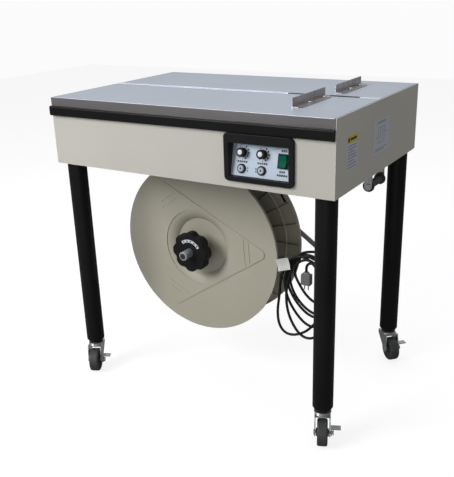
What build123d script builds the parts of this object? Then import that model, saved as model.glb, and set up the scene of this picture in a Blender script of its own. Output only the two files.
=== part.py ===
from build123d import *
import math
import os

os.makedirs("parts", exist_ok=True)

# Semi automatic strapping machine: a stainless table on a sheet metal body that
# holds the strapping head, four tube legs on braked casters, and a strap reel
# hung below.  +X is to the right along the table, +Y to the back, +Z up.
# All sizes are in millimetres.  The parts are laid out from the floor point
# under the middle of the table; publish() then moves them all together, so
# that the origin is the middle of the footprint, on the floor.

# ---- table and body ----
table_length = 900.0
table_depth = 610.0
table_height = 906.0
body_bottom = 710.0          # underside of the body above the floor
sheet = 2.0                  # painted body sheet
plate_sheet = 2.5            # stainless table plates
flange_width = 20.0          # inward bottom flanges of the panels
front_fold = 20.0            # folded front edge of the front plate
fold_shadow_gap = 6.0        # gap between that fold and the front panel
seam_front_y = -10.0         # where the front plate ends
seam_rear_y = 10.0           # where the rear plate starts
right_edge_gap = 3.0         # dark gap between the plates and the right panel
slot_left = 173.0            # the open head slot in the seam
slot_right = 385.0
slot_width = 9.0
channel_lip = 1.5            # how far the strap channel stands above the plates

# ---- front bumper ----
bumper_proud = 12.0
bumper_low = 854.0
bumper_high = 882.0

# ---- base frame ----
rail_height = 24.0
rail_sheet = 3.0
rail_ledge = 45.0
corner_plate = 100.0
corner_plate_sheet = 5.0

# ---- legs ----
leg_radius = 28.5
leg_wall = 2.5
leg_inset_x = 38.0           # from the table's end to the leg's axis
leg_inset_y = 40.0           # from the table's front and back to the leg's axis
leg_cone = 9.0               # height of the tapered lower end
leg_cone_radius = 22.0
leg_plug_height = 42.0
leg_cap = 8.0
bolt_radius = 8.0
bolt_head_radius = 12.0
bolt_head_height = 10.0
bolt_clearance = 0.5

# ---- casters ----
wheel_radius = 37.5
caster_height = 2 * wheel_radius + 23   # floor to the lower end of the leg
axle_head_radius = 7.0
lever_half_width = 9.0
lever_rise = 15.0
wheel_tread = 29.0
wheel_hub = 36.0
trail = 26.0                 # axle behind the swivel axis
fork_gap = 38.0
fork_sheet = 3.0
fork_top_radius = 27.0
axle_radius = 4.0
stem_radius = 5.5
stem_length = 34.0
running_clearance = 0.05     # radial, in every turning fit
lever_sheet = 3.0
lever_tab = 27.0
trail_bearing = {"front_left": -62.0, "front_right": -66.0,
                 "rear_left": -128.0, "rear_right": -45.0}

# ---- control panel ----
control_x = 245.0
bezel_width = 199.0
bezel_low = 727.5
bezel_high = 853.0
bezel_corner = 13.0
bezel_proud = 8.0
window_width = 171.0
window_low = 741.0
window_high = 828.0
bezel_wall = 3.0
bezel_depth = 44.0
face_sheet = 2.0
face_recess_low = 3.0        # how far behind the front panel the face starts
face_recess_high = 22.0
dial_x = (-54.5, 3.5)        # from the middle of the control panel
dial_row = 16.0              # above the middle of the face
button_row = -25.0
dial_radius = 12.0
dial_length = 15.0
dial_stem_radius = 3.0
button_radius = 8.5
button_ring_radius = 12.0
button_travel = 2.0
rocker_x = 61.5
rocker_row = 4.0
rocker_width = 22.0
rocker_height = 31.0
rocker_frame = 3.0
rocker_axis_out = 2.0        # its pivot, above the face
rocker_pin_radius = 1.5
rocker_pin_gap = 0.05

# ---- stop brackets on the table ----
bracket_sheet = 2.5
bracket_height = 24.0
bracket_foot = 30.0
bracket_corner = 22.0
bracket_seat = 0.5           # depth of the shallow pad each bracket sits in
bracket_seat_gap = 0.3       # room round its foot
bracket_front = (285.0, -205.0, 200.0)      # upright face's X, near end, length
bracket_rear = (295.0, 45.0, 188.0)
screw_step = (73.0, 166.0)                  # screws along the front bracket
rear_screw_step = (77.0, 148.0)
screw_radius = 3.0
screw_head_radius = 6.5
screw_head_height = 3.5

# ---- strap reel ----
reel_x = -90.0
reel_z = 428.0
reel_front_y = -100.0
reel_rear_y = 60.0
flange_radius = 276.0
flange_sheet = 5.0
rim_lip = 9.0
rim_wall = 4.0
recess_mouth = 127.0         # where the face starts to round into the recess
recess_arc = 45.0
recess_slope = 50.0          # degrees, where the rounding ends
recess_depth = 20.0
hub_radius = 24.0
hub_tube_radius = 28.0
triangle_height = 2.2        # the raised panel round the recess
hub_proud = 18.0
drum_radius = 100.0
drum_wall = 5.0
triangle_inset = 126.0       # middle of the flange to each side of the triangle
triangle_corner = 18.0
triangle_angle = 4.0
groove_width = 4.5
groove_depth = 1.4
cross_grooves = (167.0, 184.0)
rib_count = 24
rib_width = 4.0
rib_height = 3.0
ring_rib_radius = 228.0
spindle_radius = 14.0
spindle_tip_y = -190.0
spindle_end_y = 136.0
collar_radius = 30.0
washer_radius = 30.0
washer_sheet = 8.0
knob_radius = 63.5
knob_valley = 6.5
knob_lobes = 8
knob_thickness = 28.0
knob_travel = 18.0

# ---- reel hanger and brake arm ----
hanger_sheet = 6.0
hanger_width = 120.0
hanger_y = 80.0              # front face of the hanging plate
bearing_radius = 32.0
arm_y = 99.0                 # front face of the brake arm
arm_thickness = 8.0
arm_width = 13.0
arm_pivot = (-176.0, 690.0)
arm_tip = (255.0, 390.0)
arm_pin_radius = 5.0
arm_eye_radius = 12.0
arm_roller_length = 30.0

# ---- strap guide roller ----
guide_x = 430.0
guide_z = 672.5
guide_near_y = -28.0
guide_far_y = 62.0
guide_flange_radius = 16.5
guide_flange_sheet = 4.0
guide_core_radius = 11.0
guide_pin_radius = 4.0
ear_sheet = 3.0
ear_radius = 11.0
ear_clearance = 1.0

# ---- strapping head and drive ----
head_left = 205.0
head_right = 353.0
head_half_depth = 55.0
head_top = 886.0
cheek = 8.0
guide_block_low = 845.0
slide_gap = 0.5
press_size = (28.0, 24.0)
gripper_size = (22.0, 24.0)
gripper_offset = 38.0
slide_bottom = 818.0
cam_axis_z = 790.0
cam_shaft_radius = 10.0
cam_radius = 23.0
cam_throw = 4.0
cam_width = 14.0
cam_shaft_end = 412.0
gearbox_left = 362.0
gearbox_width = 52.0
drive_z = 800.0
motor_x = 30.0
motor_radius = 45.0
motor_foot = 52.0
motor_near_y = -90.0
motor_far_y = 70.0
motor_shaft_radius = 7.0
motor_pulley_radius = 18.0
feed_x = 150.0
feed_radius = 20.0
feed_half_width = 30.0
feed_shaft_radius = 8.0
feed_pulley_radius = 30.0
pulley_near_y = -116.0
pulley_width = 16.0
belt_gap = 0.3
belt_sheet = 3.0
belt_width = 13.0

# ---- power cord ----
cord_diameter = 8.0
gland_x = 322.0
gland_y = -70.0
gland_radius = 11.0
gland_length = 34.0
cord_route = [(322.0, -70.0, 676.0), (322.0, -70.0, 644.0), (326.0, -72.0, 606.0),
              (331.0, -70.0, 566.0), (326.0, -74.0, 528.0), (315.0, -71.0, 497.0),
              (302.0, -66.0, 468.0), (280.0, -60.0, 456.0)]
coil_y = (-96.0, -52.0)
long_loop = (186.0, 340.0, 172.0, 462.0)        # left, right, low and high limits
short_loop = (196.0, 336.0, 284.0, 466.0)
coil_band = 16.0
short_band = 32.0
plug_size = (30.0, 20.0, 34.0)
plug_centre = (272.0, -80.0, 384.0)
plug_boot_radius = 5.5

front_y = -table_depth / 2
rear_y = table_depth / 2
half_length = table_length / 2
pieces = {}


def keep(name, shape):
    """File a finished piece under its node name."""
    pieces[name] = shape


def block(x, y, z):
    """A box from its limits along X, Y and Z."""
    middle = Pos((x[0] + x[1]) / 2, (y[0] + y[1]) / 2, (z[0] + z[1]) / 2)
    return middle * Box(x[1] - x[0], y[1] - y[0], z[1] - z[0])


def rod_x(y, z, x0, x1, radius):
    """A cylinder along X."""
    return Pos((x0 + x1) / 2, y, z) * Rot(0, 90, 0) * Cylinder(radius, x1 - x0)


def rod_y(x, z, y0, y1, radius):
    """A cylinder along Y."""
    return Pos(x, (y0 + y1) / 2, z) * Rot(90, 0, 0) * Cylinder(radius, y1 - y0)


def rod_z(x, y, z0, z1, radius):
    """A cylinder along Z."""
    return Pos(x, y, (z0 + z1) / 2) * Cylinder(radius, z1 - z0)


def turned_about_y(points, x, z):
    """A solid turned about an axis along Y, from (radius, y) points."""
    outline = make_face(Polyline(*points, close=True))
    return Pos(x, 0, z) * revolve(outline, Axis.Y)


# ---------------------------------------------------------------- chassis

leg_places = {
    "front_left": (-half_length + leg_inset_x, front_y + leg_inset_y),
    "front_right": (half_length - leg_inset_x, front_y + leg_inset_y),
    "rear_left": (-half_length + leg_inset_x, rear_y - leg_inset_y),
    "rear_right": (half_length - leg_inset_x, rear_y - leg_inset_y),
}
plate_under = table_height - plate_sheet
inner_x = half_length - sheet
panel_top = table_height - front_fold - fold_shadow_gap


def side_panel(side, top):
    """An end panel: an upright web with a bottom flange turned inwards."""
    outer = side * half_length
    web = block(sorted((outer, side * inner_x)), (front_y, rear_y), (body_bottom, top))
    foot = block(sorted((outer, side * (half_length - flange_width))),
                 (front_y + sheet, rear_y - sheet), (body_bottom, body_bottom + sheet))
    return web + foot


keep("left_panel", side_panel(-1, plate_under))
keep("right_panel", side_panel(1, table_height))

flange_reach = half_length - flange_width


def long_panel(outer, side, top):
    """A front or rear panel between the end panels, flanged along both edges."""
    web = block((-inner_x, inner_x), sorted((outer, outer - side * sheet)), (body_bottom, top))
    foot = block((-flange_reach, flange_reach), sorted((outer, outer - side * flange_width)),
                 (body_bottom, body_bottom + sheet))
    head = block((-flange_reach, flange_reach), sorted((outer, outer - side * flange_width)),
                 (top - sheet, top))
    return web + foot + head


tunnel_half = window_width / 2 + bezel_wall
tunnel_low = window_low - bezel_wall
tunnel_high = window_high + bezel_wall
panel_hole = block((control_x - tunnel_half, control_x + tunnel_half),
                   (front_y - 1, front_y + sheet + 1), (tunnel_low, tunnel_high))
keep("front_panel", long_panel(front_y, -1, panel_top) - panel_hole)
keep("rear_panel", long_panel(rear_y, 1, panel_top))


def base_frame():
    """Angle rails round the floor of the body, corner plates and two cross beams."""
    low = body_bottom + sheet
    rail_x = inner_x
    rail_front = front_y + sheet
    rail_rear = rear_y - sheet
    outer = block((-rail_x, rail_x), (rail_front, rail_rear), (low, low + rail_height))
    above = block((-rail_x + rail_sheet, rail_x - rail_sheet),
                  (rail_front + rail_sheet, rail_rear - rail_sheet),
                  (low + rail_sheet, low + rail_height + 1))
    middle = block((-rail_x + rail_ledge, rail_x - rail_ledge),
                   (rail_front + rail_ledge, rail_rear - rail_ledge), (low - 1, low + rail_height))
    frame = outer - above - middle
    for x, y in leg_places.values():
        side_x = math.copysign(1, x)
        side_y = math.copysign(1, y)
        frame += block(sorted((side_x * (rail_x - corner_plate), side_x * (rail_x - 1))),
                       sorted((side_y * (rear_y - sheet - corner_plate), side_y * (rear_y - sheet - 1))),
                       (low, low + corner_plate_sheet))
    for left, right in ((reel_x - hanger_width / 2, motor_x + motor_foot),
                        (head_left, gearbox_left + gearbox_width + 8)):
        frame += block((left, right), (rail_front + 1, rail_rear - 1), (low, low + corner_plate_sheet))
    for x, y in leg_places.values():
        frame -= rod_z(x, y, low - 1, low + 20, bolt_radius + bolt_clearance)
    return frame


keep("base_frame", base_frame())
floor_top = body_bottom + sheet + corner_plate_sheet


def table_plates():
    """The two stainless plates with a seam along the table between them."""
    right = inner_x - right_edge_gap
    seat = (plate_under, table_height)
    front = block((-half_length, right), (front_y, seam_front_y), seat)
    front += block((-inner_x, right), (front_y, front_y + plate_sheet),
                   (table_height - front_fold, table_height))
    rear = block((-half_length, right), (seam_rear_y, rear_y), seat)
    rear += block((-inner_x, right), (rear_y - plate_sheet, rear_y),
                  (table_height - front_fold, table_height))
    for x in (-half_length + sheet + 4, right - 12):
        front += block((x, x + 8), (front_y + plate_sheet, seam_front_y),
                       (plate_under - 12, plate_under))
        rear += block((x, x + 8), (seam_rear_y, rear_y - plate_sheet), (plate_under - 12, plate_under))
    for x in (-150, 30):
        front += block((x, x + 30), (front_y + 30, seam_front_y - 20), (plate_under - 10, plate_under))
        rear += block((x, x + 30), (seam_rear_y + 20, rear_y - 30), (plate_under - 10, plate_under))
    for plate_side, (x, near, length) in (("front", bracket_front), ("rear", bracket_rear)):
        gap = bracket_seat_gap
        pad = block((x - gap, x + bracket_foot + gap), (near - gap, near + length + gap),
                    (table_height - bracket_seat, table_height + 1))
        if plate_side == "front":
            front -= pad
        else:
            rear -= pad
    for step in screw_step:
        front -= rod_z(bracket_front[0] + bracket_foot / 2, bracket_front[1] + step,
                       plate_under - 1, table_height + 1, screw_radius + 0.1)
    for step in rear_screw_step:
        rear -= rod_z(bracket_rear[0] + bracket_foot / 2, bracket_rear[1] + step,
                      plate_under - 1, table_height + 1, screw_radius + 0.1)
    return front, rear


front_plate, rear_plate = table_plates()
keep("table_plate_front", front_plate)
keep("table_plate_rear", rear_plate)


def strap_channel():
    """A bright strip that fills the seam, with a small lip and the open head slot."""
    right = inner_x - right_edge_gap
    strip = block((-half_length + sheet, right), (seam_front_y, seam_rear_y),
                  (plate_under - 8, table_height - 0.5))
    strip += block((-half_length + sheet, slot_left), (seam_front_y + 6, seam_rear_y - 6),
                   (plate_under, table_height + channel_lip))
    strip -= block((slot_left, slot_right), (-slot_width / 2, slot_width / 2),
                   (plate_under - 9, table_height + 1))
    return strip


keep("strap_channel", strap_channel())

bumper = block((-half_length + 1, half_length - 2), (front_y - bumper_proud, front_y),
               (bumper_low, bumper_high))
bumper_edges = bumper.edges().filter_by(Axis.X).sort_by(Axis.Y)[:2]
bumper = fillet(bumper_edges, 5)
# a slot behind the fold of the table plate keeps the bar clear of it
bumper -= block((-half_length, half_length), (front_y - 0.6, front_y + 1),
                (panel_top, bumper_high + 1))
keep("front_bumper", bumper)

# ---------------------------------------------------------------- legs

bolt_group = None
for place, (x, y) in leg_places.items():
    low = caster_height
    leg = rod_z(x, y, low + leg_cone, body_bottom, leg_radius)
    leg += Pos(x, y, low + leg_cone / 2) * Cone(leg_cone_radius, leg_radius, leg_cone)
    hollow = rod_z(x, y, low + leg_plug_height, body_bottom - leg_cap, leg_radius - leg_wall)
    bore = rod_z(x, y, low - 1, low + leg_plug_height + 1, stem_radius + running_clearance)
    bolt_hole = rod_z(x, y, body_bottom - leg_cap - 1, body_bottom + 1, bolt_radius + bolt_clearance)
    keep(f"leg_{place}", leg - hollow - bore - bolt_hole)
    shank = rod_z(x, y, body_bottom - leg_cap - 16, floor_top, bolt_radius)
    hexagon = extrude(Pos(x, y, floor_top) * RegularPolygon(bolt_head_radius, 6), bolt_head_height)
    nut = extrude(Pos(x, y, body_bottom - leg_cap - 12) * RegularPolygon(bolt_head_radius, 6), 12)
    bolt = shank + hexagon + nut
    bolt_group = bolt if bolt_group is None else bolt_group + bolt
keep("leg_bolts", bolt_group)

# ---------------------------------------------------------------- casters


def caster(place, x, y):
    """A swivel fork with its riveted axle, a wheel and a side brake lever.

    Each is drawn with the wheel trailing along -X, then turned into place.
    """
    cheek_in = fork_gap / 2
    cheek_out = cheek_in + fork_sheet
    top = caster_height - 12
    axle_z = wheel_radius
    cheeks = None
    for side in (-1, 1):
        outline = make_face(Polyline((-trail - 11, axle_z), (-trail - 7, axle_z - 10),
                                     (-trail + 7, axle_z - 10), (-trail + 12, axle_z),
                                     (26, top - 8), (26, top), (-30, top), (-34, top - 12),
                                     close=True))
        flat = extrude(Plane.XZ.offset(-side * cheek_in) * outline, -side * fork_sheet)
        cheeks = flat if cheeks is None else cheeks + flat
    crown = block((-30, 26), (-cheek_out, cheek_out), (top, top + fork_sheet))
    race = rod_z(0, 0, top + fork_sheet, top + 8, fork_top_radius - 3)
    neck = rod_z(0, 0, top + 8, caster_height - 1, 13)
    stem = rod_z(0, 0, caster_height - 1, caster_height + stem_length, stem_radius)
    axle = rod_y(-trail, axle_z, -cheek_out - 9, cheek_out + 2.5, axle_radius)
    head = rod_y(-trail, axle_z, cheek_out, cheek_out + 2.5, axle_head_radius)
    cap = rod_y(-trail, axle_z, -cheek_out - 9, -cheek_out - 6, axle_head_radius)
    fork = cheeks + crown + race + neck + stem + axle + head + cap

    tyre = rod_y(-trail, axle_z, -wheel_tread / 2, wheel_tread / 2, wheel_radius)
    rims = tyre.edges().filter_by(GeomType.CIRCLE)
    tyre = fillet(rims, 5)
    for side in (-1, 1):
        ring = rod_y(-trail, axle_z, *sorted((side * wheel_tread / 2, side * (wheel_tread / 2 - 4))),
                     wheel_radius - 9)
        ring -= rod_y(-trail, axle_z, *sorted((side * wheel_tread / 2, side * (wheel_tread / 2 - 4))), 13)
        tyre -= ring
    hub = rod_y(-trail, axle_z, -wheel_hub / 2, wheel_hub / 2, 11)
    bore = rod_y(-trail, axle_z, -40, 40, axle_radius + running_clearance)
    wheel = tyre + hub - bore

    lever_in = -cheek_out - 1
    flat = (lever_in - lever_sheet, lever_in)
    reach = (-trail - lever_half_width, -trail + lever_half_width)
    arm = rod_y(-trail, axle_z, *flat, lever_half_width)
    arm += block(reach, flat, (axle_z, axle_z + lever_rise))
    arm += block(reach, (lever_in - lever_tab, lever_in),
                 (axle_z + lever_rise, axle_z + lever_rise + lever_sheet))
    arm -= rod_y(-trail, axle_z, lever_in - lever_sheet - 1, lever_in + 1,
                 axle_radius + running_clearance)
    turn = Pos(x, y, 0) * Rot(0, 0, trail_bearing[place] + 180)
    keep(f"caster_fork_{place}", turn * fork)
    keep(f"caster_wheel_{place}", turn * wheel)
    keep(f"brake_lever_{place}", turn * arm)


for place, (x, y) in leg_places.items():
    caster(place, x, y)

# ---------------------------------------------------------------- controls

face_low_y = front_y + face_recess_low
face_high_y = front_y + face_recess_high
face_height = math.hypot(window_high - window_low, face_high_y - face_low_y)
face_tilt = math.atan2(face_high_y - face_low_y, window_high - window_low)
face_plane = Plane(origin=(control_x, (face_low_y + face_high_y) / 2, (window_low + window_high) / 2),
                   x_dir=(1, 0, 0), z_dir=(0, -math.cos(face_tilt), math.sin(face_tilt)))


def on_face(shape, x, row, out=0.0):
    """A shape set on the sloping control face, +Z pointing out of it."""
    return face_plane * Pos(x, row, out) * shape


def control_bezel():
    """A moulded frame with rounded corners and a tunnel back into the body."""
    height = bezel_high - bezel_low
    rim = RectangleRounded(bezel_width, height, bezel_corner)
    middle_z = (bezel_high + bezel_low) / 2
    front = Plane(origin=(control_x, front_y - bezel_proud, middle_z), x_dir=(1, 0, 0), z_dir=(0, -1, 0))
    frame = extrude(front * rim, -bezel_proud)
    frame = fillet(frame.faces().sort_by(Axis.Y)[0].edges(), 2.5)
    tunnel = block((control_x - tunnel_half, control_x + tunnel_half),
                   (front_y, front_y + bezel_depth), (tunnel_low, tunnel_high))
    window = block((control_x - window_width / 2, control_x + window_width / 2),
                   (front_y - bezel_proud - 1, front_y + bezel_depth + 1), (window_low, window_high))
    return frame + tunnel - window


keep("control_bezel", control_bezel())

face = on_face(Box(window_width - 0.6, face_height - 1.4, face_sheet), 0, 0, -face_sheet / 2)
for x in dial_x:
    face -= on_face(Cylinder(dial_stem_radius + running_clearance, 10), x, dial_row)
    face -= on_face(Cylinder(button_radius + 0.8, 10), x, button_row)
rocker_hole = Box(rocker_width + 0.8, rocker_height + 0.8, 10)
face -= on_face(rocker_hole, rocker_x, rocker_row)
keep("control_face", face)


def dial(x):
    """A round grip on a stem, with a pointer slot across its cap."""
    grip = Pos(0, 0, 1 + dial_length / 2) * Cylinder(dial_radius, dial_length)
    grip = fillet(grip.edges().filter_by(GeomType.CIRCLE).sort_by(Axis.Z)[-1:], 1.5)
    for index in range(20):
        grip -= Rot(0, 0, index * 18) * Pos(dial_radius, 0, 2 + dial_length / 2) * Cylinder(0.8, dial_length)
    grip += Pos(0, 0, -6) * Cylinder(dial_stem_radius, 16)
    grip -= Pos(0, dial_radius * 0.55, 1 + dial_length) * Box(1.6, dial_radius, 1.6)
    return on_face(grip, x, dial_row)


keep("feed_dial", dial(dial_x[0]))
keep("tension_dial", dial(dial_x[1]))


def push_button(x):
    """A domed push button with its plunger."""
    cap = Pos(0, 0, 4.5) * Cylinder(button_radius, 5)
    cap = fillet(cap.edges().filter_by(GeomType.CIRCLE).sort_by(Axis.Z)[-1:], 1.5)
    cap += Pos(0, 0, -3) * Cylinder(4, 12)
    return on_face(cap, x, button_row)


keep("feed_button", push_button(dial_x[0]))
keep("reset_button", push_button(dial_x[1]))


def switch_bodies():
    """The two button collars and the rocker's frame, each snapped into the face."""
    group = None
    for x in dial_x:
        ring = Pos(0, 0, 2) * Cylinder(button_ring_radius, 4)
        ring = fillet(ring.edges().filter_by(GeomType.CIRCLE).sort_by(Axis.Z)[-1:], 1)
        ring -= Pos(0, 0, 2) * Cylinder(button_radius + 0.4, 9)
        ring = on_face(ring, x, button_row)
        group = ring if group is None else group + ring
    outer = Pos(0, 0, 2) * Box(rocker_width + 2 * rocker_frame, rocker_height + 2 * rocker_frame, 4)
    outer = fillet(outer.edges().filter_by(Axis.Z), 2)
    outer -= Box(rocker_width + 0.6, rocker_height + 0.6, 20)
    pin = Pos(0, 0, rocker_axis_out) * Rot(0, 90, 0) * Cylinder(rocker_pin_radius, rocker_width + 2)
    return group + on_face(outer + pin, rocker_x, rocker_row)


keep("switch_bodies", switch_bodies())


def power_rocker():
    """A see-saw switch cap, its two halves sloping down to the middle."""
    half = rocker_height / 2
    profile = make_face(Polyline((-half + 1, 4), (-half + 1, 8), (0, 5.5), (half - 1, 8),
                                 (half - 1, 4), (0, -6), close=True))
    cap = extrude(Plane.YZ * profile, (rocker_width - 1) / 2, both=True)
    bore = Cylinder(rocker_pin_radius + rocker_pin_gap, rocker_width + 4)
    cap -= Pos(0, 0, rocker_axis_out) * Rot(0, 90, 0) * bore
    return on_face(cap, rocker_x, rocker_row)


keep("power_rocker", power_rocker())


def control_box():
    """A sheet metal box behind the panel for the board and the relays."""
    x = (control_x - 96, control_x + 96)
    y = (front_y + bezel_depth + 3, front_y + bezel_depth + 75)
    z = (floor_top, 850)
    shell = block(x, y, z) - block((x[0] + 1.5, x[1] - 1.5), (y[0] - 1, y[1] - 1.5), (z[0] + 1.5, z[1] - 1.5))
    board = block((x[0] + 10, x[1] - 10), (y[1] - 14, y[1] - 12), (z[0] + 12, z[1] - 12))
    for sx in (x[0] + 16, x[1] - 16):
        for sz in (z[0] + 18, z[1] - 18):
            board += rod_y(sx, sz, y[1] - 12, y[1] - 1.5, 3)
    board += block((x[0] + 20, x[0] + 70), (y[1] - 44, y[1] - 14), (z[0] + 20, z[0] + 70))
    board += rod_y(x[1] - 45, z[1] - 50, y[1] - 50, y[1] - 14, 14)
    return shell + board


keep("control_box", control_box())

# ---------------------------------------------------------------- stop brackets

screw_group = None
for name, (x, near, length), steps in (("stop_bracket_front", bracket_front, screw_step),
                                       ("stop_bracket_rear", bracket_rear, rear_screw_step)):
    base = table_height - bracket_seat
    upright = block((x, x + bracket_sheet), (near, near + length), (base, base + bracket_height))
    foot_outline = make_face(Polyline((x, near), (x + bracket_foot - 12, near),
                                      (x + bracket_foot, near + 12),
                                      (x + bracket_foot, near + length - bracket_corner),
                                      (x + bracket_foot - 14, near + length), (x, near + length),
                                      close=True))
    foot = extrude(Pos(0, 0, base) * foot_outline, bracket_sheet)
    for step in steps:
        seat = base + bracket_sheet
        foot -= rod_z(x + bracket_foot / 2, near + step, base - 1, seat + 1, screw_radius + 0.1)
        head = rod_z(x + bracket_foot / 2, near + step, seat, seat + screw_head_height, screw_head_radius)
        head = fillet(head.edges().filter_by(GeomType.CIRCLE).sort_by(Axis.Z)[-1:], 1.8)
        shank = rod_z(x + bracket_foot / 2, near + step, plate_under - 6, seat + 1, screw_radius)
        screw = head + shank
        screw_group = screw if screw_group is None else screw_group + screw
    keep(name, upright + foot)
keep("bracket_screws", screw_group)

# ---------------------------------------------------------------- reel

spindle_bore = spindle_radius + running_clearance
recess_back = reel_front_y + recess_depth
hub_front = reel_front_y - hub_proud


def reel_front_flange():
    """A moulded disc with a dished middle, a hub and a raised triangular panel."""
    y0 = reel_front_y
    slope = math.radians(recess_slope)
    middle = (recess_mouth - recess_arc * math.sin(slope / 2), y0 + recess_arc * (1 - math.cos(slope / 2)))
    lip = (recess_mouth - recess_arc * math.sin(slope), y0 + recess_arc * (1 - math.cos(slope)))
    floor_radius = lip[0] - (recess_back - lip[1]) / math.tan(slope)
    rounding = ThreePointArc((recess_mouth, y0), middle, lip)
    rest = Polyline(
        lip, (floor_radius, recess_back), (hub_radius, recess_back), (hub_radius, hub_front),
        (spindle_bore, hub_front), (spindle_bore, recess_back + flange_sheet),
        (drum_radius + 2, recess_back + flange_sheet), (recess_mouth + 8, y0 + flange_sheet),
        (flange_radius - rim_wall, y0 + flange_sheet), (flange_radius - rim_wall, y0 + rim_lip),
        (flange_radius, y0 + rim_lip), (flange_radius, y0), (recess_mouth, y0))
    disc = Pos(reel_x, 0, reel_z) * revolve(make_face(rounding + rest), Axis.Y)
    front = Plane(origin=(reel_x, y0, reel_z), x_dir=(1, 0, 0), z_dir=(0, -1, 0))
    panel = RegularPolygon(triangle_inset, 3, major_radius=False, rotation=triangle_angle)
    panel = fillet(panel.vertices(), triangle_corner) - Circle(recess_mouth - 4)
    disc += extrude(front * panel, triangle_height)
    grooves = None
    for turn in (0, 120, 240):
        for distance in cross_grooves:
            bar = Rot(0, 0, triangle_angle + turn) * Pos(distance, 0) * Rectangle(groove_width, 300)
            bar = bar & RegularPolygon(triangle_inset - groove_width, 3, major_radius=False,
                                       rotation=triangle_angle)
            grooves = bar if grooves is None else grooves + bar
    top = Plane(origin=(reel_x, y0 - triangle_height, reel_z), x_dir=(1, 0, 0), z_dir=(0, -1, 0))
    return disc - extrude(top * grooves, -groove_depth)


def reel_rear_flange():
    """A ribbed disc with the winding drum and its hub tube."""
    y1 = reel_rear_y
    drum_end = recess_back + flange_sheet
    outline = [(spindle_bore, drum_end), (hub_tube_radius, drum_end), (hub_tube_radius, y1),
               (drum_radius - drum_wall, y1), (drum_radius - drum_wall, drum_end),
               (drum_radius, drum_end), (drum_radius, y1), (flange_radius - rim_wall, y1),
               (flange_radius - rim_wall, y1 - rim_lip + flange_sheet), (flange_radius, y1 - rim_lip + flange_sheet),
               (flange_radius, y1 + flange_sheet), (spindle_bore, y1 + flange_sheet)]
    disc = turned_about_y(outline, reel_x, reel_z)
    ring = rod_y(reel_x, reel_z, y1 - rib_height, y1 + 1, ring_rib_radius + rib_width / 2)
    ring -= rod_y(reel_x, reel_z, y1 - rib_height - 1, y1 + 2, ring_rib_radius - rib_width / 2)
    disc += ring
    reach = flange_radius - rim_wall - drum_radius
    rib = Pos(drum_radius + reach / 2 - 1, 0, 0) * Box(reach + 4, rib_height + 1, rib_width)
    for index in range(rib_count):
        disc += Pos(reel_x, y1 - rib_height / 2 + 0.5, reel_z) * Rot(0, -index * 360 / rib_count, 0) * rib
    for turn in (34, 154, 274):
        slot = Pos(257, 0, 0) * Box(10, 3 * flange_sheet + 8, 28)
        disc -= Pos(reel_x, y1, reel_z) * Rot(0, -turn, 0) * slot
    return disc


keep("reel_front_flange", reel_front_flange())
keep("reel_rear_flange", reel_rear_flange())

collar_y = reel_rear_y + flange_sheet
spindle = rod_y(reel_x, reel_z, spindle_tip_y, spindle_end_y, spindle_radius)
spindle = chamfer(spindle.edges().filter_by(GeomType.CIRCLE).sort_by(Axis.Y)[:1], 2)
spindle += rod_y(reel_x, reel_z, collar_y, collar_y + 8, collar_radius)
spindle += rod_y(reel_x, reel_z, spindle_end_y - 8, spindle_end_y, spindle_radius + 5)
keep("reel_spindle", spindle)

washer_y = hub_front - washer_sheet
washer = rod_y(reel_x, reel_z, washer_y, hub_front, washer_radius)
washer -= rod_y(reel_x, reel_z, washer_y - 1, hub_front + 1, spindle_bore)
keep("clamp_washer", washer)


def clamp_knob():
    """A lobed hand nut that clamps the front flange on the spindle."""
    points = []
    steps = knob_lobes * 8
    for index in range(steps):
        angle = 2 * math.pi * index / steps
        wave = math.cos(knob_lobes * angle)
        radius = knob_radius - knob_valley * ((1 - wave) / 2) ** 2
        points.append((radius * math.cos(angle), radius * math.sin(angle)))
    outline = make_face(Spline(*points, periodic=True))
    knob_back = Plane(origin=(reel_x, washer_y, reel_z), x_dir=(1, 0, 0), z_dir=(0, -1, 0))
    body = extrude(knob_back * outline, knob_thickness)
    body = chamfer(body.faces().sort_by(Axis.Y)[0].edges(), 3)
    body -= rod_y(reel_x, reel_z, washer_y - 80, washer_y + 1, spindle_bore)
    return body


keep("clamp_knob", clamp_knob())


def reel_hanger():
    """A plate hung from the cross beam, with the spindle bearing and the arm's fork."""
    half = hanger_width / 2
    top = body_bottom
    plate = block((reel_x - half, reel_x + half), (hanger_y, hanger_y + hanger_sheet),
                  (reel_z - 30, top))
    plate = fillet(plate.edges().filter_by(Axis.Y).sort_by(Axis.Z)[:2], 28)
    head = block((arm_pivot[0] - 24, reel_x + half), (hanger_y, hanger_y + 50),
                 (top - hanger_sheet, top))
    bearing = rod_y(reel_x, reel_z, hanger_y - 3, spindle_end_y - 10, bearing_radius)
    eye = block((arm_pivot[0] - 14, arm_pivot[0] + 14), (hanger_y, hanger_y + 5),
                (arm_pivot[1] - 14, top))
    pin = rod_y(arm_pivot[0], arm_pivot[1], hanger_y, arm_y + arm_thickness + 8, arm_pin_radius)
    pin += rod_y(arm_pivot[0], arm_pivot[1], arm_y + arm_thickness + 2, arm_y + arm_thickness + 6, 9)
    hanger = plate + head + bearing + eye + pin
    return hanger - rod_y(reel_x, reel_z, hanger_y - 10, spindle_end_y + 1, spindle_bore)


keep("reel_hanger", reel_hanger())


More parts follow.
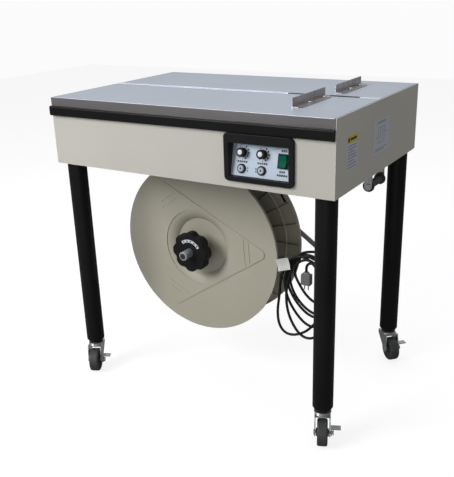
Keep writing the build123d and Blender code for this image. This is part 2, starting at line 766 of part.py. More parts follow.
def brake_arm():
    """A long flat bar from its pivot to the strap roller at its lower end."""
    dx = arm_tip[0] - arm_pivot[0]
    dz = arm_tip[1] - arm_pivot[1]
    length = math.hypot(dx, dz)
    slope = math.degrees(math.atan2(dz, dx))
    bar = Box(length, arm_thickness, arm_width)
    middle = Pos((arm_tip[0] + arm_pivot[0]) / 2, arm_y + arm_thickness / 2,
                 (arm_tip[1] + arm_pivot[1]) / 2)
    arm = middle * Rot(0, -slope, 0) * bar
    for x, z in (arm_pivot, arm_tip):
        arm += rod_y(x, z, arm_y, arm_y + arm_thickness, arm_eye_radius)
    arm += rod_y(*arm_tip, arm_y - arm_roller_length, arm_y, arm_eye_radius - 3)
    arm += rod_y(*arm_tip, arm_y - arm_roller_length - 3, arm_y - arm_roller_length, arm_eye_radius)
    return arm - rod_y(*arm_pivot, arm_y - 1, arm_y + arm_thickness + 1, arm_pin_radius + running_clearance)


keep("brake_arm", brake_arm())

# ---------------------------------------------------------------- strap guide

guide_bore = guide_pin_radius + running_clearance
roller = rod_y(guide_x, guide_z, guide_near_y, guide_far_y, guide_core_radius)
roller += rod_y(guide_x, guide_z, guide_near_y, guide_near_y + guide_flange_sheet, guide_flange_radius)
roller += rod_y(guide_x, guide_z, guide_far_y - guide_flange_sheet, guide_far_y, guide_flange_radius)
roller -= rod_y(guide_x, guide_z, guide_near_y - 1, guide_far_y + 1, guide_bore)
keep("guide_roller", roller)


def guide_bracket():
    """A bent U bracket under the body with two rounded ears and a riveted pin."""
    near = guide_near_y - ear_clearance
    far = guide_far_y + ear_clearance
    bracket = block((guide_x - ear_radius, guide_x + ear_radius), (near - ear_sheet, far + ear_sheet),
                    (body_bottom - ear_sheet, body_bottom))
    for y in (near - ear_sheet, far):
        bracket += block((guide_x - ear_radius, guide_x + ear_radius), (y, y + ear_sheet),
                         (guide_z, body_bottom))
        bracket += rod_y(guide_x, guide_z, y, y + ear_sheet, ear_radius)
    bracket += rod_y(guide_x, guide_z, near - ear_sheet - 3, far + ear_sheet + 3, guide_pin_radius)
    bracket += rod_y(guide_x, guide_z, near - ear_sheet - 3, near - ear_sheet, 7)
    return bracket


keep("guide_bracket", guide_bracket())

# ---------------------------------------------------------------- head and drive

head_x = (head_left + head_right) / 2


def head_frame():
    """Two cheeks, a base, the strap tools' guide block and the feed roller's bearings."""
    base = block((head_left, head_right), (-head_half_depth, head_half_depth), (floor_top, floor_top + cheek))
    guide = block((head_left, head_right), (-24, 24), (guide_block_low, head_top))
    frame = base + guide
    frame += block((feed_x - 16, head_left + 1), (-feed_half_width - 14, feed_half_width + 14),
                   (floor_top, floor_top + cheek))
    for y in (-feed_half_width - 14, feed_half_width + 6):
        post = block((feed_x - 16, feed_x + 16), (y, y + cheek), (floor_top, drive_z + 16))
        frame += post - rod_y(feed_x, drive_z, y - 1, y + 9, feed_shaft_radius + running_clearance)
    for x in (head_left, head_right - cheek):
        frame += block((x, x + cheek), (-head_half_depth, head_half_depth), (floor_top, head_top))
    frame -= rod_x(0, cam_axis_z, head_left - 1, head_right + 1, cam_shaft_radius + running_clearance)
    half_x = press_size[0] / 2 + slide_gap
    half_y = press_size[1] / 2 + slide_gap
    frame -= block((head_x - half_x, head_x + half_x), (-half_y, half_y), (guide_block_low - 1, head_top + 1))
    half_x = gripper_size[0] / 2 + slide_gap
    for side in (-1, 1):
        middle = head_x + side * gripper_offset
        frame -= block((middle - half_x, middle + half_x), (-half_y, half_y),
                       (guide_block_low - 1, head_top + 1))
    return frame


keep("head_frame", head_frame())

keep("press_slide", block((head_x - press_size[0] / 2, head_x + press_size[0] / 2),
                          (-press_size[1] / 2, press_size[1] / 2), (slide_bottom, head_top - 2)))
grippers = None
for side in (-1, 1):
    middle = head_x + side * gripper_offset
    tool = block((middle - gripper_size[0] / 2, middle + gripper_size[0] / 2),
                 (-gripper_size[1] / 2, gripper_size[1] / 2), (slide_bottom, head_top - 2))
    grippers = tool if grippers is None else grippers + tool
yoke_low = slide_bottom + 8
for side in (-1, 1):
    y = side * (gripper_size[1] / 2 + 3)
    grippers += block((head_x - gripper_offset - 6, head_x + gripper_offset + 6),
                      sorted((y - 2, y + 2)), (yoke_low, yoke_low + 12))
    for end in (-1, 1):
        x = head_x + end * gripper_offset
        grippers += block((x - 5, x + 5), sorted((side * (gripper_size[1] / 2 - 1), y)),
                          (yoke_low, yoke_low + 12))
keep("strap_grippers", grippers)

cam_shaft = rod_x(0, cam_axis_z, head_left - 12, cam_shaft_end, cam_shaft_radius)
for offset in (-gripper_offset, 0, gripper_offset):
    cam_shaft += rod_x(0, cam_axis_z - cam_throw, head_x + offset - cam_width / 2,
                       head_x + offset + cam_width / 2, cam_radius)
keep("cam_shaft", cam_shaft)

gearbox = block((gearbox_left, gearbox_left + gearbox_width + 6), (-45, 45), (floor_top, 842))
gearbox = fillet(gearbox.edges().filter_by(Axis.X), 6)
gearbox -= rod_x(0, cam_axis_z, gearbox_left - 1, cam_shaft_end + 0.5, cam_shaft_radius + running_clearance)
keep("gearbox", gearbox)


def drive_motor():
    """A foot-mounted motor with end bells, its axis along Y."""
    body = rod_y(motor_x, drive_z, motor_near_y + 14, motor_far_y - 14, motor_radius - 3)
    for y0, y1 in ((motor_near_y, motor_near_y + 16), (motor_far_y - 16, motor_far_y)):
        body += rod_y(motor_x, drive_z, y0, y1, motor_radius)
    body += block((motor_x - motor_foot + 2, motor_x + motor_foot - 2),
                  (motor_near_y + 20, motor_far_y - 20), (floor_top, floor_top + 6))
    for side in (-1, 1):
        body += block(sorted((motor_x + side * 22, motor_x + side * 34)),
                      (motor_near_y + 20, motor_far_y - 20), (floor_top, drive_z - 26))
    return body - rod_y(motor_x, drive_z, motor_near_y - 1, motor_near_y + 40,
                        motor_shaft_radius + running_clearance)


keep("drive_motor", drive_motor())


def pulley(x, radius, flange):
    """A belt pulley with a flange on each side."""
    low = pulley_near_y
    high = pulley_near_y + pulley_width
    wheel = rod_y(x, drive_z, low, high, radius)
    wheel += rod_y(x, drive_z, low - 1.5, low, radius + flange)
    wheel += rod_y(x, drive_z, high, high + 1.5, radius + flange)
    return wheel


motor_pulley = pulley(motor_x, motor_pulley_radius, 4)
motor_pulley += rod_y(motor_x, drive_z, pulley_near_y, motor_near_y + 38, motor_shaft_radius)
keep("motor_pulley", motor_pulley)

feed_roller = pulley(feed_x, feed_pulley_radius, 4)
feed_roller += rod_y(feed_x, drive_z, pulley_near_y, feed_half_width + 22, feed_shaft_radius)
feed_roller += rod_y(feed_x, drive_z, -feed_half_width, feed_half_width, feed_radius)
keep("feed_roller", feed_roller)


def drive_belt():
    """A flat belt round both pulleys."""
    def loop(extra):
        small = Pos(motor_x, drive_z) * Circle(motor_pulley_radius + extra)
        large = Pos(feed_x, drive_z) * Circle(feed_pulley_radius + extra)
        span = feed_x - motor_x
        lean = math.acos((motor_pulley_radius - feed_pulley_radius) / span)
        corners = []
        for x, radius, sign in ((motor_x, motor_pulley_radius, 1), (feed_x, feed_pulley_radius, 1),
                                (feed_x, feed_pulley_radius, -1), (motor_x, motor_pulley_radius, -1)):
            reach = radius + extra
            corners.append((x + reach * math.cos(lean), drive_z + sign * reach * math.sin(lean)))
        return small + large + make_face(Polyline(*corners, close=True))
    band = loop(belt_gap + belt_sheet) - loop(belt_gap)
    start = pulley_near_y + (pulley_width - belt_width) / 2
    return extrude(Plane.XZ.offset(-start) * band, -belt_width)


keep("drive_belt", drive_belt())

# ---------------------------------------------------------------- power cord


def cord_tube():
    """Straight runs joined by tangent arcs, each as large as its two runs allow."""
    points = [Vector(*point) for point in cord_route]
    radii = []
    for before, corner, after in zip(points, points[1:], points[2:]):
        first = corner - before
        second = after - corner
        turn = math.radians(first.get_angle(second))
        radii.append(0.45 * min(first.length, second.length) / math.tan(turn / 2))
    path = FilletPolyline(*points, radius=radii)
    section = Plane(origin=path @ 0, z_dir=path % 0) * Circle(cord_diameter / 2)
    tube = sweep(section, path)
    exact = math.pi * (cord_diameter / 2) ** 2 * path.length
    print("cord arcs:", [round(radius) for radius in radii])
    print("cord tube length %.1f, volume ratio %.4f" % (path.length, tube.volume / exact))
    return tube


keep("power_cord", cord_tube())

gland = rod_z(gland_x, gland_y, body_bottom - 14, body_bottom, gland_radius)
gland += Pos(gland_x, gland_y, body_bottom - 14 - (gland_length - 14) / 2) * Cone(
    cord_diameter / 2 + 1, gland_radius - 2, gland_length - 14)
keep("cord_gland", gland)


def loop_ring(limits, band, y):
    """A flat hanging loop of cord turns with rounded ends."""
    left, right, low, high = limits
    width = right - left
    outer = RectangleRounded(width, high - low, width / 2 - 0.5)
    inner = RectangleRounded(width - 2 * band, high - low - 2 * band, width / 2 - band - 0.5)
    place = Pos((left + right) / 2, (low + high) / 2)
    return extrude(Plane.XZ.offset(-y[0]) * place * (outer - inner), y[0] - y[1])


coil_middle = (coil_y[0] + coil_y[1]) / 2
coil = loop_ring(long_loop, coil_band, (coil_middle - 9, coil_middle + 9))
coil += loop_ring(short_loop, short_band, coil_y)
keep("cord_coil", coil)

plug = Pos(*plug_centre) * Box(*plug_size)
plug = fillet(plug.edges().filter_by(Axis.Z), 5)
plug += rod_z(plug_centre[0], plug_centre[1], plug_centre[2] + plug_size[2] / 2 - 1,
              short_loop[3] - short_band + 3, plug_boot_radius)
for side in (-1, 1):
    plug += Pos(plug_centre[0] + side * 6, plug_centre[1], plug_centre[2] - plug_size[2] / 2 - 8) * Box(1.6, 6, 18)
keep("power_plug", plug)

# ---------------------------------------------------------------- publish


def publish():
    """Centre the footprint on the origin and write one file for each piece."""
    cord = ("power_cord", "cord_coil", "power_plug")
    boxes = [shape.bounding_box() for name, shape in pieces.items() if name not in cord]
    shift_x = -(min(b.min.X for b in boxes) + max(b.max.X for b in boxes)) / 2
    shift_y = -(min(b.min.Y for b in boxes) + max(b.max.Y for b in boxes)) / 2
    print("shift of the table's middle: x %.4f y %.4f" % (shift_x, shift_y))
    for name, shape in pieces.items():
        export_step(Pos(shift_x, shift_y, 0) * shape, f"parts/{name}.step")


publish()
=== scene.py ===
import math
import random

import bmesh
import bpy
from mathutils import Matrix, Vector


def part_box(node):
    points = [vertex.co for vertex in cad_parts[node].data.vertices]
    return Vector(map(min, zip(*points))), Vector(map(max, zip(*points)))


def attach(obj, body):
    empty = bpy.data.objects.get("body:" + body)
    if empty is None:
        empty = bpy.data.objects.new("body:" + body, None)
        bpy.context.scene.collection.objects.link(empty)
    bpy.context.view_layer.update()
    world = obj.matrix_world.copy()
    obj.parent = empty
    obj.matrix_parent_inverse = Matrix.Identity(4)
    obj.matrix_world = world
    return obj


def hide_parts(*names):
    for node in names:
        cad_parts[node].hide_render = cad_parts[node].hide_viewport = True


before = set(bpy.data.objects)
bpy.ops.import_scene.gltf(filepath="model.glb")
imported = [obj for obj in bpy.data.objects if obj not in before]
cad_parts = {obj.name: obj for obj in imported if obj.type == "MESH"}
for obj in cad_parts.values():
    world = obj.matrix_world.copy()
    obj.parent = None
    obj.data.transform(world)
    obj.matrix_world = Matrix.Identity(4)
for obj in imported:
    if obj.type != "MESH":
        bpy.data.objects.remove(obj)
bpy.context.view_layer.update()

# ---- Camera, lights and floor -------------------------------------------
# A plain pale studio: one large soft light in front of the left end, a weaker
# one over the top, and a bright even surround, so that the steel reads clean.

left_low, left_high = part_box("left_panel")
right_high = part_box("right_panel")[1]
table_x = (left_low.x + right_high.x) / 2
table_y = (left_low.y + left_high.y) / 2


def at_table(x, y, z):
    """A point measured from the floor under the middle of the table, in millimetres."""
    return Vector((table_x + x / 1000, table_y + y / 1000, z / 1000))


camera_place = at_table(1074.6, -1781.0, 1208.9)
camera_heading = 32.24         # degrees round from the table's front
camera_drop = 20.28            # degrees below level
camera_roll = -1.87
camera_data = bpy.data.cameras.new("view_camera")
camera_data.sensor_width = 36
camera_data.lens = 52.58
camera = bpy.data.objects.new("view_camera", camera_data)
bpy.context.collection.objects.link(camera)
heading = Matrix.Rotation(math.radians(camera_heading), 4, "Z")
pitch = Matrix.Rotation(math.radians(90 - camera_drop), 4, "X")
roll = Matrix.Rotation(math.radians(camera_roll), 4, "Z")
camera.matrix_world = Matrix.Translation(camera_place) @ heading @ pitch @ roll
bpy.context.scene.camera = camera


def soft_light(name, place, target, size, watts):
    """A square area light at place, turned to face target."""
    data = bpy.data.lights.new(name, "AREA")
    data.shape = "SQUARE"
    data.size = size
    data.energy = watts
    light = bpy.data.objects.new(name, data)
    light.location = place
    light.rotation_euler = (target - place).to_track_quat("-Z", "Y").to_euler()
    bpy.context.collection.objects.link(light)


aim = at_table(0, 0, 600)
soft_light("key_light", at_table(-1500, -2600, 2300), aim, 1.6, 74)
soft_light("top_light", at_table(-300, 500, 3000), aim, 2.2, 26)
soft_light("low_light", at_table(900, -2600, 700), aim, 1.2, 6)

lit_wall = (-0.533, 0.846, 0.15)     # direction of the studio wall that is lit most
surround_dim, surround_bright = 0.3, 0.50
paper_white = 0.97
world = bpy.data.worlds.new("studio")
world.use_nodes = True
sky = world.node_tree
plain = sky.nodes["Background"]
plain.inputs["Color"].default_value = (1, 1, 1, 1)
coords = sky.nodes.new("ShaderNodeTexCoord")
facing = sky.nodes.new("ShaderNodeVectorMath")
facing.operation = "DOT_PRODUCT"
facing.inputs[1].default_value = lit_wall
sky.links.new(coords.outputs["Generated"], facing.inputs[0])
fade = sky.nodes.new("ShaderNodeMapRange")
fade.inputs["From Min"].default_value = 0.1
fade.inputs["From Max"].default_value = 0.95
fade.inputs["To Min"].default_value = surround_dim
fade.inputs["To Max"].default_value = surround_bright
sky.links.new(facing.outputs["Value"], fade.inputs["Value"])
sky.links.new(fade.outputs["Result"], plain.inputs["Strength"])
paper = sky.nodes.new("ShaderNodeBackground")
paper.inputs["Color"].default_value = (1, 1, 1, 1)
paper.inputs["Strength"].default_value = paper_white
path = sky.nodes.new("ShaderNodeLightPath")
either = sky.nodes.new("ShaderNodeMixShader")
sky.links.new(path.outputs["Is Camera Ray"], either.inputs["Fac"])
sky.links.new(plain.outputs["Background"], either.inputs[1])
sky.links.new(paper.outputs["Background"], either.inputs[2])
sky.links.new(either.outputs["Shader"], sky.nodes["World Output"].inputs["Surface"])
bpy.context.scene.world = world
bpy.context.scene.view_settings.view_transform = "Standard"


def deselect():
    """Clear the selection, so that an operator meets only what comes next."""
    bpy.ops.object.select_all(action="DESELECT")


floor_glow_strength = 0.82      # only the camera sees it, so it lights nothing
deselect()
bpy.ops.mesh.primitive_plane_add(size=14, location=(0, 0, 0))
floor = bpy.context.object
floor.name = "studio_floor"
floor_paint = bpy.data.materials.new("floor_paper")
floor_paint.use_nodes = True
floor_shader = floor_paint.node_tree.nodes["Principled BSDF"]
floor_shader.inputs["Base Color"].default_value = (0.3, 0.3, 0.3, 1)
floor_shader.inputs["Roughness"].default_value = 0.95
floor_shader.inputs["Specular IOR Level"].default_value = 0.0
floor_shader.inputs["Emission Color"].default_value = (1, 1, 1, 1)
floor_path = floor_paint.node_tree.nodes.new("ShaderNodeLightPath")
floor_glow = floor_paint.node_tree.nodes.new("ShaderNodeMath")
floor_glow.operation = "MULTIPLY"
floor_glow.inputs[1].default_value = floor_glow_strength
floor_paint.node_tree.links.new(floor_path.outputs["Is Camera Ray"], floor_glow.inputs[0])
floor_paint.node_tree.links.new(floor_glow.outputs[0], floor_shader.inputs["Emission Strength"])
floor.data.materials.append(floor_paint)

# ---- Sheet metal body ----------------------------------------------------
# Folded steel panels in a fine textured beige-grey powder coat that varies a
# little in tone and is rubbed lighter along the folds. The frame under the
# table is coated dark.


def new_group(name, sockets, outputs):
    group = bpy.data.node_groups.new(name, "ShaderNodeTree")
    for label, kind, value in sockets:
        socket = group.interface.new_socket(name=label, in_out="INPUT", socket_type=kind)
        socket.default_value = value
    for label, kind in outputs:
        group.interface.new_socket(name=label, in_out="OUTPUT", socket_type=kind)
    start = group.nodes.new("NodeGroupInput")
    end = group.nodes.new("NodeGroupOutput")
    return group, start, end


def noise(group, coords, scale, detail):
    node = group.nodes.new("ShaderNodeTexNoise")
    node.inputs["Detail"].default_value = detail
    group.links.new(coords, node.inputs["Vector"])
    if isinstance(scale, (int, float)):
        node.inputs["Scale"].default_value = scale
    else:
        group.links.new(scale, node.inputs["Scale"])
    return node.outputs["Fac"]


def remap(group, value, low, high, to_low, to_high):
    node = group.nodes.new("ShaderNodeMapRange")
    group.links.new(value, node.inputs["Value"])
    for label, amount in (("From Min", low), ("From Max", high), ("To Min", to_low), ("To Max", to_high)):
        if isinstance(amount, (int, float)):
            node.inputs[label].default_value = amount
        else:
            group.links.new(amount, node.inputs[label])
    return node.outputs["Result"]


def blend_colours(group, factor, first, second):
    node = group.nodes.new("ShaderNodeMix")
    node.data_type = "RGBA"
    group.links.new(factor, node.inputs["Factor"])
    group.links.new(first, node.inputs["A"])
    group.links.new(second, node.inputs["B"])
    return node.outputs["Result"]


def rubbed_surface_group():
    """Colour, roughness and height of a paint or plastic with rubbed edges and dust."""
    colour = "NodeSocketColor"
    number = "NodeSocketFloat"
    group, start, end = new_group(
        "rubbed_surface",
        [("Tone A", colour, (0.5, 0.5, 0.5, 1)), ("Tone B", colour, (0.45, 0.45, 0.45, 1)),
         ("Edge Tone", colour, (0.7, 0.7, 0.7, 1)), ("Cloud Scale", number, 6.0),
         ("Grain Scale", number, 900.0), ("Rough Low", number, 0.35), ("Rough High", number, 0.5),
         ("Edge Width", number, 0.0015), ("Edge Amount", number, 0.4)],
        [("Colour", colour), ("Roughness", number), ("Height", number)])
    coords = group.nodes.new("ShaderNodeTexCoord").outputs["Object"]
    clouds = noise(group, coords, start.outputs["Cloud Scale"], 4)
    spread = remap(group, clouds, 0.3, 0.7, 0.0, 1.0)
    tone = blend_colours(group, spread, start.outputs["Tone A"], start.outputs["Tone B"])
    grain = noise(group, coords, start.outputs["Grain Scale"], 2)
    bevel = group.nodes.new("ShaderNodeBevel")
    bevel.samples = 4
    group.links.new(start.outputs["Edge Width"], bevel.inputs["Radius"])
    geometry = group.nodes.new("ShaderNodeNewGeometry")
    dot = group.nodes.new("ShaderNodeVectorMath")
    dot.operation = "DOT_PRODUCT"
    group.links.new(bevel.outputs["Normal"], dot.inputs[0])
    group.links.new(geometry.outputs["Normal"], dot.inputs[1])
    edge = remap(group, dot.outputs["Value"], 0.995, 0.85, 0.0, 1.0)
    patches = noise(group, coords, 45.0, 5)
    worn = group.nodes.new("ShaderNodeMath")
    worn.operation = "MULTIPLY"
    group.links.new(edge, worn.inputs[0])
    group.links.new(remap(group, patches, 0.4, 0.65, 0.25, 1.0), worn.inputs[1])
    amount = group.nodes.new("ShaderNodeMath")
    amount.operation = "MULTIPLY"
    group.links.new(worn.outputs[0], amount.inputs[0])
    group.links.new(start.outputs["Edge Amount"], amount.inputs[1])
    shade = blend_colours(group, amount.outputs[0], tone, start.outputs["Edge Tone"])
    group.links.new(shade, end.inputs["Colour"])
    rough = remap(group, grain, 0.3, 0.7, start.outputs["Rough Low"], start.outputs["Rough High"])
    group.links.new(rough, end.inputs["Roughness"])
    group.links.new(grain, end.inputs["Height"])
    return group


rubbed_surface = rubbed_surface_group()


def material_from(group, name, values, metallic=0.0, bump=0.1, bump_distance=0.0002, coat=0.0,
                  gloss=0.5):
    """A material with the group's colour, roughness and height, at its own values."""
    material = bpy.data.materials.new(name)
    material.use_nodes = True
    tree = material.node_tree
    shader = tree.nodes["Principled BSDF"]
    shader.inputs["Metallic"].default_value = metallic
    shader.inputs["Coat Weight"].default_value = coat
    shader.inputs["Specular IOR Level"].default_value = gloss
    shader.inputs["Coat Roughness"].default_value = 0.2
    node = tree.nodes.new("ShaderNodeGroup")
    node.node_tree = group
    for label, value in values.items():
        node.inputs[label].default_value = value
    tree.links.new(node.outputs["Colour"], shader.inputs["Base Color"])
    tree.links.new(node.outputs["Roughness"], shader.inputs["Roughness"])
    relief = tree.nodes.new("ShaderNodeBump")
    relief.inputs["Strength"].default_value = bump
    relief.inputs["Distance"].default_value = bump_distance
    tree.links.new(node.outputs["Height"], relief.inputs["Height"])
    tree.links.new(relief.outputs["Normal"], shader.inputs["Normal"])
    return material


def dress(material, *nodes):
    """Give CAD nodes a finish in place of their plain one."""
    for name in nodes:
        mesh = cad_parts[name].data
        mesh.materials.clear()
        mesh.materials.append(material)


beige_coat = material_from(rubbed_surface, "beige_powder_coat", {
    "Tone A": (0.60, 0.585, 0.53, 1), "Tone B": (0.56, 0.545, 0.495, 1),
    "Edge Tone": (0.66, 0.65, 0.62, 1), "Cloud Scale": 3.0, "Grain Scale": 1100.0,
    "Rough Low": 0.42, "Rough High": 0.56, "Edge Width": 0.002, "Edge Amount": 0.5}, bump=0.3)
dress(beige_coat, "front_panel", "rear_panel", "left_panel", "right_panel")
frame_coat = material_from(rubbed_surface, "dark_frame_coat", {
    "Tone A": (0.04, 0.04, 0.041, 1), "Tone B": (0.055, 0.055, 0.055, 1),
    "Edge Tone": (0.15, 0.15, 0.15, 1), "Cloud Scale": 7.0, "Rough Low": 0.45, "Rough High": 0.6})
dress(frame_coat, "base_frame", "reel_hanger", "head_frame")

# ---- Table plates --------------------------------------------------------
# Two stainless plates brushed along the table. A near-white strip, a painted highlight, fills the seam
# between them up to the open slot over the head, where dark pieces paint the shade inside the slot. A dark
# strip paints the shade in the gap that parts them from the right panel's bare edge, whose top carries a
# painted highlight. The front fold is a darker copy of the steel as painted shade, and its front edge
# carries a painted highlight.


def brushed_metal_group():
    """Long fine scratches along one axis, with slow cloudy tone, for plate and bright steel."""
    colour = "NodeSocketColor"
    number = "NodeSocketFloat"
    group, start, end = new_group(
        "brushed_metal",
        [("Tone A", colour, (0.6, 0.6, 0.6, 1)), ("Tone B", colour, (0.5, 0.5, 0.5, 1)),
         ("Stretch", "NodeSocketVector", (3.0, 500.0, 500.0)), ("Rough Low", number, 0.25),
         ("Rough High", number, 0.45)],
        [("Colour", colour), ("Roughness", number), ("Height", number)])
    coords = group.nodes.new("ShaderNodeTexCoord").outputs["Object"]
    mapping = group.nodes.new("ShaderNodeVectorMath")
    mapping.operation = "MULTIPLY"
    group.links.new(coords, mapping.inputs[0])
    group.links.new(start.outputs["Stretch"], mapping.inputs[1])
    lines = noise(group, mapping.outputs["Vector"], 1.0, 3)
    clouds = noise(group, coords, 3.2, 4)
    both = group.nodes.new("ShaderNodeMath")
    both.operation = "ADD"
    group.links.new(remap(group, lines, 0.3, 0.7, 0.0, 0.5), both.inputs[0])
    group.links.new(remap(group, clouds, 0.3, 0.7, 0.0, 0.5), both.inputs[1])
    shade = blend_colours(group, both.outputs[0], start.outputs["Tone A"], start.outputs["Tone B"])
    group.links.new(shade, end.inputs["Colour"])
    rough = remap(group, both.outputs[0], 0.2, 0.8, start.outputs["Rough Low"], start.outputs["Rough High"])
    group.links.new(rough, end.inputs["Roughness"])
    group.links.new(lines, end.inputs["Height"])
    return group


brushed_metal = brushed_metal_group()


def apply_modifiers(piece):
    """Apply every modifier of a piece, in order."""
    deselect()
    piece.select_set(True)
    bpy.context.view_layer.objects.active = piece
    for modifier in list(piece.modifiers):
        bpy.ops.object.modifier_apply(modifier=modifier.name)


def settle(piece, name, body, material=None):
    """Name a finished piece, put its place into its mesh, and let it ride on its body."""
    deselect()
    piece.select_set(True)
    bpy.context.view_layer.objects.active = piece
    bpy.ops.object.transform_apply(location=True, rotation=True, scale=True)
    piece.name = name
    if material is not None:
        piece.data.materials.clear()
        piece.data.materials.append(material)
    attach(piece, body)
    return piece


def block(name, low, high, body, material, bevel=0.0, place=None):
    """A box from low to high in table millimetres, or in the frame of a matrix given as place."""
    deselect()
    bpy.ops.mesh.primitive_cube_add(size=1)
    piece = bpy.context.object
    low, high = Vector(low) / 1000, Vector(high) / 1000
    piece.scale = high - low
    bpy.ops.object.transform_apply(location=False, rotation=False, scale=True)
    if bevel:
        edges = piece.modifiers.new("edges", "BEVEL")
        edges.width = bevel / 1000
        edges.segments = 2
        apply_modifiers(piece)
    place = place or Matrix.Translation(at_table(0, 0, 0))
    piece.matrix_world = place @ Matrix.Translation((low + high) / 2)
    return settle(piece, name, body, material)


stainless = material_from(brushed_metal, "brushed_stainless", {
    "Tone A": (0.56, 0.62, 0.71, 1), "Tone B": (0.49, 0.545, 0.63, 1),
    "Stretch": (4.0, 420.0, 420.0), "Rough Low": 0.34, "Rough High": 0.5},
    metallic=0.75, bump=0.06)
dress(stainless, "table_plate_front", "table_plate_rear", "strap_channel")
bracket_steel = material_from(brushed_metal, "bracket_steel", {
    "Tone A": (0.52, 0.49, 0.49, 1), "Tone B": (0.34, 0.32, 0.32, 1),
    "Stretch": (30.0, 60.0, 30.0), "Rough Low": 0.22, "Rough High": 0.42}, metallic=0.95, bump=0.05)
dress(bracket_steel, "stop_bracket_front", "stop_bracket_rear")
# Near-white painted highlight: thin strips along the seams and edges stand for light caught on them.
painted_highlight_strip = material_from(brushed_metal, "painted_highlight_strip", {
    "Tone A": (0.86, 0.87, 0.9, 1), "Tone B": (0.74, 0.75, 0.78, 1),
    "Stretch": (6.0, 700.0, 700.0), "Rough Low": 0.3, "Rough High": 0.45}, metallic=0.25, bump=0.04)
# Near-black steel used as painted shade: the right edge gap, the slot's rear wall and lip, and the press
# slide and grippers seen down the slot are dark so the gap and slot read as shadow.
dark_steel_painted_shade = material_from(brushed_metal, "dark_steel_painted_shade", {
    "Tone A": (0.05, 0.048, 0.046, 1), "Tone B": (0.03, 0.03, 0.03, 1),
    "Stretch": (80.0, 80.0, 80.0), "Rough Low": 0.35, "Rough High": 0.55}, metallic=0.4, gloss=0.2)
# A darker copy of the table's stainless, as painted shade and reflection on the front fold's upright face.
fold_shade_steel = material_from(brushed_metal, "fold_shade_steel", {
    "Tone A": (0.36, 0.34, 0.35, 1), "Tone B": (0.22, 0.21, 0.215, 1),
    "Stretch": (3.0, 400.0, 400.0), "Rough Low": 0.28, "Rough High": 0.45}, metallic=0.85, bump=0.05)
plate_top = 906
plate_front = -305
seam_left, seam_right = -446, 172
gap_left, gap_right = 444.2, 447.8
channel_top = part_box("strap_channel")[1].z * 1000
slot_left, slot_right = 173.5, 384.5
slot_rear = 3.9
# Painted highlight: a near-white strip along the seam between the plates.
block("seam_highlight_lip", (seam_left, 0.4, channel_top - 0.2), (seam_right, slot_rear, channel_top + 0.4),
      "machine", painted_highlight_strip, 0.2)
# Painted shade: a dark strip in the gap between the plates and the right panel.
block("right_edge_gap_shadow", (gap_left, -304, plate_top - 0.6), (gap_right, 304, plate_top + 0.2),
      "machine", dark_steel_painted_shade)
# Painted highlight along the right panel's top edge.
block("right_panel_edge_highlight", (gap_right + 0.1, -304.5, plate_top - 0.2), (450.2, 304.5, plate_top + 1.0),
      "machine", painted_highlight_strip, 0.3)
# Painted shade: dark rear wall and lip inside the slot over the head.
block("head_slot_shade_wall", (slot_left, slot_rear, plate_top - 13),
      (slot_right, slot_rear + 0.55, plate_top - 0.2), "machine", dark_steel_painted_shade)
block("head_slot_shade_lip", (slot_left, slot_rear + 0.55, plate_top - 0.7),
      (slot_right, 8.5, plate_top + 0.2), "machine", dark_steel_painted_shade)
# Painted highlight along the seam to the right of the slot.
block("seam_right_highlight_lip", (386, -2, plate_top - 0.7), (440, 2, plate_top + 0.5), "machine",
      painted_highlight_strip, 0.2)
# Painted shade: the front fold's upright face in the darker copy of the steel.
block("front_fold_shade_face", (-449.6, plate_front - 0.4, 882.4), (446.8, plate_front + 0.1, plate_top - 1.0),
      "machine", fold_shade_steel)
# Painted highlight along the front edge of the front plate.
block("front_edge_glint", (-449, plate_front - 0.2, plate_top - 0.5),
      (446, plate_front + 1.4, plate_top + 0.3), "machine", painted_highlight_strip, 0.3)
turned_steel = material_from(brushed_metal, "turned_steel", {
    "Tone A": (0.78, 0.79, 0.8, 1), "Tone B": (0.6, 0.61, 0.62, 1),
    "Stretch": (300.0, 300.0, 300.0), "Rough Low": 0.15, "Rough High": 0.32}, metallic=1.0, bump=0.05)
dress(turned_steel, "bracket_screws", "leg_bolts", "clamp_washer", "cam_shaft", "motor_pulley")
spindle_steel = material_from(brushed_metal, "spindle_steel", {
    "Tone A": (0.62, 0.66, 0.68, 1), "Tone B": (0.4, 0.43, 0.45, 1),
    "Stretch": (60.0, 500.0, 60.0), "Rough Low": 0.22, "Rough High": 0.4}, metallic=0.55, bump=0.2)
dress(spindle_steel, "reel_spindle")
# The press slide and grippers under the slot take the same near-black as painted shade.
dress(dark_steel_painted_shade, "press_slide", "strap_grippers")

# ---- Bumper and legs -----------------------------------------------------
# A hollow black bar takes knocks along the front; the legs are round tube in
# the same semi-gloss black.

# Semi-gloss black paint for the bumper and legs, also used as painted shade behind the reel's flange slots.
black_paint_and_shade = material_from(rubbed_surface, "semi_gloss_black", {
    "Tone A": (0.006, 0.006, 0.0065, 1), "Tone B": (0.010, 0.010, 0.011, 1),
    "Edge Tone": (0.06, 0.06, 0.06, 1), "Cloud Scale": 5.0, "Grain Scale": 800.0,
    "Rough Low": 0.3, "Rough High": 0.42, "Edge Width": 0.002, "Edge Amount": 0.35}, bump=0.1, gloss=0.16)
corners = ("front_left", "front_right", "rear_left", "rear_right")
dress(black_paint_and_shade, "front_bumper", *["leg_" + corner for corner in corners])

# ---- Control panel -------------------------------------------------------
# A grained black moulding frames a sloping silver-blue plate that carries two
# dials, two push buttons and the green power rocker.

